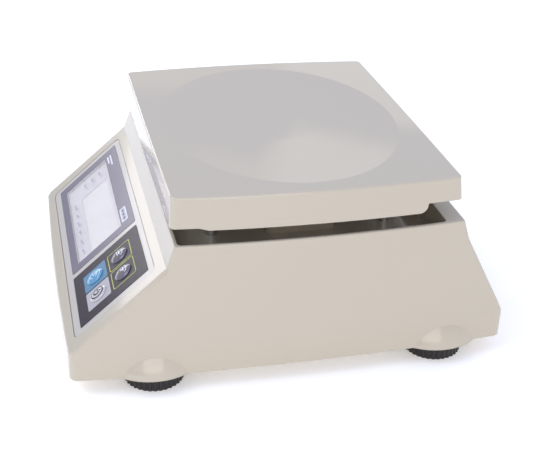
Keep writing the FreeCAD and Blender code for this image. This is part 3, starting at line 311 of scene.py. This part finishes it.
def slab(outer, inner, centre, low, high):
    """Vertices and faces of a thin plate between an outer loop and an optional inner loop."""
    count = len(outer)
    cx, cy = centre
    vertices = []
    for loop in (outer, inner) if inner else (outer,):
        for level in (low, high):
            vertices += [(cx + x, cy + y, level) for x, y in loop]
    faces = []
    for index in range(count):
        after = (index + 1) % count
        faces.append((index, after, count + after, count + index))
        if inner:
            faces.append((2 * count + index, 3 * count + index, 3 * count + after, 2 * count + after))
            faces.append((count + index, count + after, 3 * count + after, 3 * count + index))
            faces.append((index, 2 * count + index, 2 * count + after, after))
    if not inner:
        faces.append(tuple(range(count)))
        faces.append(tuple(reversed(range(count, 2 * count))))
    return vertices, faces


# ---------------------------------------------------------------------------
# Printed panel
# ---------------------------------------------------------------------------

INK = 0.06
TICK_LEVELS = {"low": -0.02, "high": 0.04}
MASK_LEVELS = (-2.0, -1.86)
GHOST_LEVELS = (-2.38, -2.34)
KEY_ACROSS = (58.6, 81.8)
KEY_DOWN = (31.6, 54.2)
CELL = (21.8, 20.4)
casing_body = "casing"

ink = {
    "blue": printed("ink_blue", (0.050, 0.185, 0.310), 0.3),
    "grey": printed("ink_grey", (0.40, 0.375, 0.40), 0.3),
    "lime": printed("ink_lime", (0.46, 0.50, 0.10), 0.4),
    "pale": printed("ink_pale", (0.70, 0.69, 0.76), 0.36),
    "mask": printed("ink_mask", (0.73, 0.685, 0.675), 0.3),
    "tick": printed("ink_tick", (0.34, 0.33, 0.40), 0.4),
    "dark": printed("ink_dark", (0.022, 0.021, 0.026), 0.5, gloss=0.12),
    "field": printed("ink_field", (0.52, 0.50, 0.55), 0.4, gloss=0.3),
    "slate": printed("ink_slate", (0.15, 0.145, 0.18), 0.4, gloss=0.3),
    "sky": printed("ink_sky", (0.42, 0.66, 0.80), 0.34),
    "white": printed("ink_white", (0.80, 0.80, 0.84), 0.34),
}


def panel_plate(name, centre, width, height, radius, colour, slot, hole=None, frame_width=None, low=0.0,
                high=INK):
    """A printed rounded rectangle on the panel, whole, with a round hole or as a frame."""
    outer = rounded_loop(width, height, radius)
    inner = None
    if hole:
        inner = matched_circle(hole, outer)
    if frame_width:
        inner = rounded_loop(width - 2 * frame_width, height - 2 * frame_width, radius - frame_width)
    vertices, faces = slab(outer, inner, (centre[0], -centre[1]), low, high)
    return mesh_piece(name, vertices, faces, slot, casing_body, PANEL, ink[colour])


for column, across in enumerate(KEY_ACROSS):
    for line, down in enumerate(KEY_DOWN):
        label = "%s_%s" % (("upper", "lower")[line], ("left", "right")[column])
        if line == 0:
            panel_plate("cell_outline_" + label, (across, down), *CELL, 1.8, "lime", "keypad_film",
                        frame_width=0.65)
        else:
            panel_plate("cell_tile_" + label, (across, down), *CELL, 1.2, ("blue", "grey")[column],
                        "keypad_film", hole=7.12)

panel_plate("badge", (11.5, 20.4), 20.0, 5.6, 1.0, "pale", "display_film")
panel_plate("badge_field", (11.5, 20.4), 17.6, 3.8, 0.6, "field", "display_film", low=0.02, high=0.08)
for index, across in enumerate((6.0, 11.5, 17.0)):
    panel_plate("badge_bar_%d" % index, (across, 20.4), 3.4, 1.7, 0.4, "slate", "display_film", low=0.04,
                high=0.10)
panel_plate("mark_long", (-83.0, 19.2), 18.0, 1.3, 0.6, "pale", "display_film")
panel_plate("mark_short", (-86.0, 21.8), 12.0, 1.3, 0.6, "pale", "display_film")

WINDOW = (-92.6, 23.6, 24.5, 66.8)
FIELD = (-66.0, 19.5, 28.2, 55.0)


def rectangle_frame(name, outer, inner, low, high, colour, slot):
    """A flat frame between two rectangles given as left, right, start and end on the panel."""
    def corners(box):
        left, right, start, end = box
        return [(right, -start), (left, -start), (left, -end), (right, -end)]
    vertices, faces = slab(corners(outer), corners(inner), (0.0, 0.0), low, high)
    return mesh_piece(name, vertices, faces, slot, casing_body, PANEL, ink[colour])


rectangle_frame("window_mask", tuple(value + shift for value, shift in zip(WINDOW, (0.3, -0.3, 0.3, -0.3))),
                FIELD, *MASK_LEVELS, "mask", "lcd_glass")

for index, across in enumerate((-58.0, -43.5, -30.0, -16.0, -1.5, 12.5)):
    panel_plate("tick_lower_%d" % index, (across, 60.4), 5.2 - 1.4 * (index % 2), 1.5, 0.3, "tick",
                "display_film", **TICK_LEVELS)
for index, down in enumerate((33.0, 40.6, 48.2)):
    panel_plate("tick_left_%d" % index, (-78.5, down), 4.6, 1.5, 0.3, "tick", "display_film", **TICK_LEVELS)

# Unlit digits of the display: seven bars each, barely darker than the field.
ghost = printed("ghost_segments", (0.885, 0.85, 0.795), 0.24)
DIGITS = 5
FIRST_DIGIT, DIGIT_STEP, DIGIT_DOWN = -54.0, 15.6, 41.6
SEGMENTS = [(0, 9.0, 6.4, 1.5), (0, 0, 6.4, 1.5), (0, -9.0, 6.4, 1.5),
            (-4.3, 4.5, 1.5, 6.6), (4.3, 4.5, 1.5, 6.6), (-4.3, -4.5, 1.5, 6.6), (4.3, -4.5, 1.5, 6.6)]
for digit in range(DIGITS):
    centre = FIRST_DIGIT + digit * DIGIT_STEP
    vertices, faces = [], []
    for x, y, width, height in SEGMENTS:
        cap = min(width, height) / 2
        if width > height:
            loop = [(x + width / 2, y), (x + width / 2 - cap, y + cap), (x - width / 2 + cap, y + cap),
                    (x - width / 2, y), (x - width / 2 + cap, y - cap), (x + width / 2 - cap, y - cap)]
        else:
            loop = [(x, y + height / 2), (x - cap, y + height / 2 - cap), (x - cap, y - height / 2 + cap),
                    (x, y - height / 2), (x + cap, y - height / 2 + cap), (x + cap, y + height / 2 - cap)]
        more, sides = slab(loop, None, (centre, -DIGIT_DOWN), *GHOST_LEVELS)
        offset = len(vertices)
        vertices += more
        faces += [tuple(offset + corner for corner in face) for face in sides]
    mesh_piece("ghost_digit_%d" % digit, vertices, faces, "lcd_glass", casing_body, PANEL, ghost)


# ---------------------------------------------------------------------------
# Symbols on the domed keys
# ---------------------------------------------------------------------------

KEY_RADIUS = 7.0
DOME_HEIGHT = 2.4
DOME_RISE = 1.7
DOME_RADIUS = (KEY_RADIUS ** 2 + DOME_RISE ** 2) / (2 * DOME_RISE)
PRINT_LEVELS = (-0.05, 0.045)
BAR_STEPS = 4


def dome(x, y):
    """Height of a key's dome above the film at a point from its centre."""
    return DOME_HEIGHT - (DOME_RADIUS - math.sqrt(max(DOME_RADIUS ** 2 - x * x - y * y, 0.0)))


def dome_shape(name, key, strips, colour, slot):
    """Raised print on a dome; each strip is a list of (inner point, outer point) pairs."""
    column = 0 if key.endswith("left") else 1
    line = 0 if "upper" in key else 1
    cx, cy = KEY_ACROSS[column], -KEY_DOWN[line]
    vertices, faces = [], []
    for strip in strips:
        start = len(vertices)
        for pair in strip:
            for x, y in pair:
                for level in PRINT_LEVELS:
                    vertices.append((cx + x, cy + y, dome(x, y) + level))
        for index in range(len(strip) - 1):
            a, b = start + 4 * index, start + 4 * index + 4
            faces += [(a + 1, a + 3, b + 3, b + 1), (a, b, b + 2, a + 2)]
            faces += [(a, a + 1, b + 1, b), (a + 2, b + 2, b + 3, a + 3)]
        last = start + 4 * (len(strip) - 1)
        if strip[0] != strip[-1]:
            faces += [(start, start + 2, start + 3, start + 1), (last, last + 1, last + 3, last + 2)]
    return mesh_piece(name, vertices, faces, slot, key + "_body", PANEL, ink[colour])


def arc_strip(inner, outer, start, end, steps=28):
    """Point pairs of a ring or arc about a key's centre, from one angle to another in degrees."""
    strip = []
    for step in range(steps + 1):
        angle = math.radians(start + (end - start) * step / steps)
        strip.append(((inner * math.cos(angle), inner * math.sin(angle)),
                      (outer * math.cos(angle), outer * math.sin(angle))))
    return strip


def bar_strip(x0, y0, x1, y1, width):
    """Point pairs of a straight bar between two points, seen from a key's centre."""
    length = math.hypot(x1 - x0, y1 - y0)
    nx, ny = -(y1 - y0) / length * width / 2, (x1 - x0) / length * width / 2
    strip = []
    for step in range(BAR_STEPS + 1):
        t = step / BAR_STEPS
        x, y = x0 + (x1 - x0) * t, y0 + (y1 - y0) * t
        strip.append(((x + nx, y + ny), (x - nx, y - ny)))
    return strip


ARROW = [((-0.9, -3.4), (0.9, -3.4)), ((-0.05, -1.9), (0.05, -1.9))]
ARCH = arc_strip(3.9, 4.4, 30, 150)

dome_shape("symbol_power", "key_lower_right",
           [arc_strip(1.9, 2.9, 125, 415), bar_strip(0, 0.6, 0, 3.8, 1.0)], "dark", "key_silver")
dome_shape("symbol_power_rim", "key_lower_right", [arc_strip(4.5, 5.3, 0, 359.9, 48)], "dark", "key_silver")
dome_shape("symbol_zero", "key_lower_left",
           [arc_strip(3.0, 3.6, 20, 160), arc_strip(3.0, 3.6, 200, 340), bar_strip(-1.6, 0, 1.6, 0, 0.7)],
           "sky", "key_blue")
dome_shape("symbol_zero_rim", "key_lower_left", [arc_strip(5.0, 5.5, 30, 200, 32)], "sky", "key_blue")
dome_shape("symbol_tare", "key_upper_left",
           [bar_strip(-2.4, 1.4, 2.4, 1.4, 0.6), bar_strip(-2.4, -0.2, 2.4, -0.2, 0.6), ARCH],
           "white", "key_violet")
dome_shape("symbol_arrow_left", "key_upper_left", [ARROW], "lime", "key_violet")
dome_shape("symbol_unit", "key_upper_right",
           [bar_strip(-2.2, 1.6, 2.2, 1.6, 0.6), bar_strip(-1.2, 0.1, 1.2, 0.1, 0.6), ARCH],
           "white", "key_violet")
dome_shape("symbol_arrow_right", "key_upper_right", [ARROW], "lime", "key_violet")


# ---------------------------------------------------------------------------
# Threads on the levelling studs and coils in the battery tray
# ---------------------------------------------------------------------------

FEET = {"front_left": (-106.5, -93.25), "front_right": (106.5, -93.25),
        "rear_left": (-106.5, 105.65), "rear_right": (106.5, 105.65)}
CREST, ROOT, PITCH = 3.94, 3.30, 1.25
THREAD_LOW, THREAD_HIGH, THREAD_SEGMENTS = 8.4, 29.6, 24
CORE = ROOT + 0.02
STUD_PROFILE = [(3.0, 4.62), (3.9, 4.62), (3.9, 8.2), (CORE, 8.6), (CORE, 28.9), (2.7, 29.9)]
STUD_SEGMENTS = 32


def thread_mesh(low, high, segments):
    """A right-hand thread with flat crests and roots."""
    profile = ((0.0, ROOT), (0.38, CREST), (0.54, CREST), (0.92, ROOT))
    turns = int((high - low) / PITCH) - 1
    rings = turns * segments + 1
    vertices, faces = [], []
    for ring in range(rings):
        angle = 2 * math.pi * ring / segments
        rise = low + PITCH * (ring / segments)
        for share, radius in profile:
            vertices.append((radius * math.cos(angle), radius * math.sin(angle), rise + share * PITCH))
    for ring in range(rings - 1):
        for step in range(3):
            a = 4 * ring + step
            faces.append((a, a + 4, a + 5, a + 1))
        if ring + segments < rings:
            a, b = 4 * ring + 3, 4 * (ring + segments)
            faces.append((a, a + 4, b + 4, b) if b + 4 < len(vertices) else (a, a + 4, b))
    return vertices, faces


def lathe(profile, segments):
    """Vertices and faces of a turned solid with flat ends; profile is a list of (radius, height)."""
    vertices, faces = [], []
    for radius, height in profile:
        for segment in range(segments):
            angle = 2 * math.pi * segment / segments
            vertices.append((radius * math.cos(angle), radius * math.sin(angle), height))
    for level in range(len(profile) - 1):
        for segment in range(segments):
            after = (segment + 1) % segments
            a, b = level * segments, (level + 1) * segments
            faces.append((a + segment, a + after, b + after, b + segment))
    faces.append(tuple(range(segments)))
    last = (len(profile) - 1) * segments
    faces.append(tuple(last + segment for segment in range(segments)))
    return vertices, faces


for place, (x, y) in FEET.items():
    vertices, faces = lathe(STUD_PROFILE, STUD_SEGMENTS)
    thread, turns = thread_mesh(THREAD_LOW, THREAD_HIGH, THREAD_SEGMENTS)
    count = len(vertices)
    vertices = vertices + thread
    faces = faces + [tuple(count + corner for corner in face) for face in turns]
    stud = mesh_piece("stud_thread_" + place, vertices, faces, "stud_steel", "foot_screw_%s_body" % place,
                      Matrix.Translation((x * MM, y * MM, 0.0)) @ Matrix.Scale(MM, 4))
    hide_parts("foot_stud_" + place)


COIL_FOOT, COIL_LENGTH, COIL_HEIGHT = -57.4, 6.2, 31.3
COIL_RADIUS, COIL_TAPER = 6.0, 2.4
CELL_ROWS = (72.0, 100.0)


def coil(name, y, height):
    """A tapering compression spring along X, wound from round wire."""
    turns, per_turn, sides, wire = 4.6, 28, 8, 0.45
    rings = int(turns * per_turn) + 1
    vertices, faces = [], []
    for ring in range(rings):
        t = ring / (rings - 1)
        angle = 2 * math.pi * turns * t
        radius = COIL_RADIUS - COIL_TAPER * t
        squeeze = t * t * (3 - 2 * t)
        centre = Vector((COIL_FOOT + COIL_LENGTH * squeeze, y + radius * math.cos(angle),
                         height + radius * math.sin(angle)))
        along = Vector((1, 0, 0))
        outward = Vector((0.0, math.cos(angle), math.sin(angle)))
        for side in range(sides):
            turn = 2 * math.pi * side / sides
            vertices.append(tuple(centre + wire * (math.cos(turn) * outward + math.sin(turn) * along)))
    for ring in range(rings - 1):
        for side in range(sides):
            after = (side + 1) % sides
            a, b = ring * sides, (ring + 1) * sides
            faces.append((a + side, a + after, b + after, b + side))
    faces.append(tuple(range(sides)))
    faces.append(tuple((rings - 1) * sides + side for side in range(sides)))
    return mesh_piece(name, vertices, faces, "contact_metal", casing_body, Matrix.Scale(MM, 4), smooth=True)


coils = [coil("spring_coil_%d" % index, y, COIL_HEIGHT) for index, y in enumerate(CELL_ROWS)]
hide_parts("battery_springs")


# ---------------------------------------------------------------------------
# Floor, light and camera
# ---------------------------------------------------------------------------

floor_material, tree, bsdf = new_material("floor", Roughness=0.9, Specular_IOR_Level=0.1)
place = object_place(tree)
tree.links.new(blend_colours(tree, spread(tree, noise(tree, place, 3.0, 2.0), 0.0, 1.0), (0.94, 0.92, 0.89),
                             (0.96, 0.94, 0.91)), bsdf.inputs["Base Color"])
bsdf.inputs["Emission Color"].default_value = (1.0, 1.0, 1.0, 1.0)
bsdf.inputs["Emission Strength"].default_value = 0.26
REACH = 12.0
floor_corners = [(-REACH, -REACH, 0), (REACH, -REACH, 0), (REACH, REACH, 0), (-REACH, REACH, 0)]
floor_mesh = bpy.data.meshes.new("floor")
floor_mesh.from_pydata(floor_corners, [], [(0, 1, 2, 3)])
floor = bpy.data.objects.new("floor", floor_mesh)
floor.location.z = -0.0001
floor.data.materials.append(floor_material)
scene.collection.objects.link(floor)

world = bpy.data.worlds.new("studio")
scene.world = world
world.use_nodes = True
backdrop = world.node_tree.nodes["Background"]
studio = world.node_tree
direction = add_node(studio, "ShaderNodeTexCoord").outputs["Generated"]
height = add_node(studio, "ShaderNodeSeparateXYZ", {"Vector": direction}).outputs["Z"]
ROOM = [(0.30, (0.72, 0.73, 0.87)), (0.46, (0.72, 0.73, 0.87)), (0.60, (0.78, 0.84, 1.04)),
        (1.00, (0.80, 0.91, 1.25))]
ramp = add_node(studio, "ShaderNodeValToRGB", {"Fac": height})
while len(ramp.color_ramp.elements) < len(ROOM):
    ramp.color_ramp.elements.new(1.0)
for element, (place, colour) in zip(ramp.color_ramp.elements, ROOM):
    element.position = place
    element.color = (*colour, 1.0)
# A pale wall stands round the bench and reaches higher behind it than in front.
facing = add_node(studio, "ShaderNodeVectorMath", {0: direction}, operation="DOT_PRODUCT")
facing.inputs[1].default_value = (0.245, 0.970, 0.0)
behind = spread(studio, facing.outputs["Value"], 0.0, 1.0, -0.008, 0.012)
wall_top = spread(studio, behind, 0.352, 0.376, 0.0, 1.0)
above_wall = add_node(studio, "ShaderNodeMath", {0: height, 1: wall_top}, operation="SUBTRACT")
front_wall = blend_colours(studio, spread(studio, height, 0.0, 1.0, 0.05, 0.20),
                           (0.30, 0.29, 0.30), (0.92, 0.90, 0.92))
wall = blend_colours(studio, behind, front_wall, (1.14, 1.13, 1.14))
surround = blend_colours(studio, spread(studio, above_wall.outputs["Value"], 0.0, 1.0, -0.006, 0.006),
                         wall, ramp.outputs["Color"])
studio.links.new(surround, backdrop.inputs["Color"])
backdrop.inputs["Strength"].default_value = 0.9


def softbox(name, position, target, width, height, power, colour=(1.0, 1.0, 1.0)):
    light = bpy.data.lights.new(name, "AREA")
    light.shape = "RECTANGLE"
    light.size = width
    light.size_y = height
    light.energy = power
    light.color = colour
    holder = bpy.data.objects.new(name, light)
    holder.location = position
    holder.rotation_mode = "QUATERNION"
    holder.rotation_quaternion = (Vector(position) - Vector(target)).to_track_quat("Z", "Y")
    scene.collection.objects.link(holder)
    return holder


softbox("front_box", (0.1, -1.1, 1.5), (0.0, -0.05, 0.07), 1.4, 1.0, 12.0, (0.86, 0.92, 1.0))
softbox("side_box", (1.9, -0.2, 0.72), (0.0, -0.05, 0.08), 1.4, 1.0, 8.0, (1.0, 0.935, 0.84))
softbox("left_box", (-1.28, -0.64, 0.46), (0.0, -0.12, 0.07), 0.60, 0.36, 2.0, (0.98, 0.97, 1.0))

AZIMUTH, ELEVATION, ROLL = math.radians(75.73), math.radians(27.49), math.radians(2.0)
DISTANCE = 0.8437
TARGET = Vector((0.0, 0.01459, 0.05053))
back = Vector((math.sin(AZIMUTH) * math.cos(ELEVATION), -math.cos(AZIMUTH) * math.cos(ELEVATION),
               math.sin(ELEVATION)))
right = (-back).cross(Vector((0, 0, 1))).normalized()
up = right.cross(-back)
level_right = math.cos(ROLL) * right + math.sin(ROLL) * up
level_up = -math.sin(ROLL) * right + math.cos(ROLL) * up
camera_data = bpy.data.cameras.new("camera")
camera_data.sensor_width = 36.0
camera_data.lens = 72.63
camera_data.clip_start = 0.01
camera_data.clip_end = 100.0
camera = bpy.data.objects.new("camera", camera_data)
camera.matrix_world = Matrix.Translation(TARGET + back * DISTANCE) @ Matrix(
    (level_right, level_up, back)).transposed().to_4x4()
scene.collection.objects.link(camera)
scene.camera = camera
scene.view_settings.view_transform = "Standard"
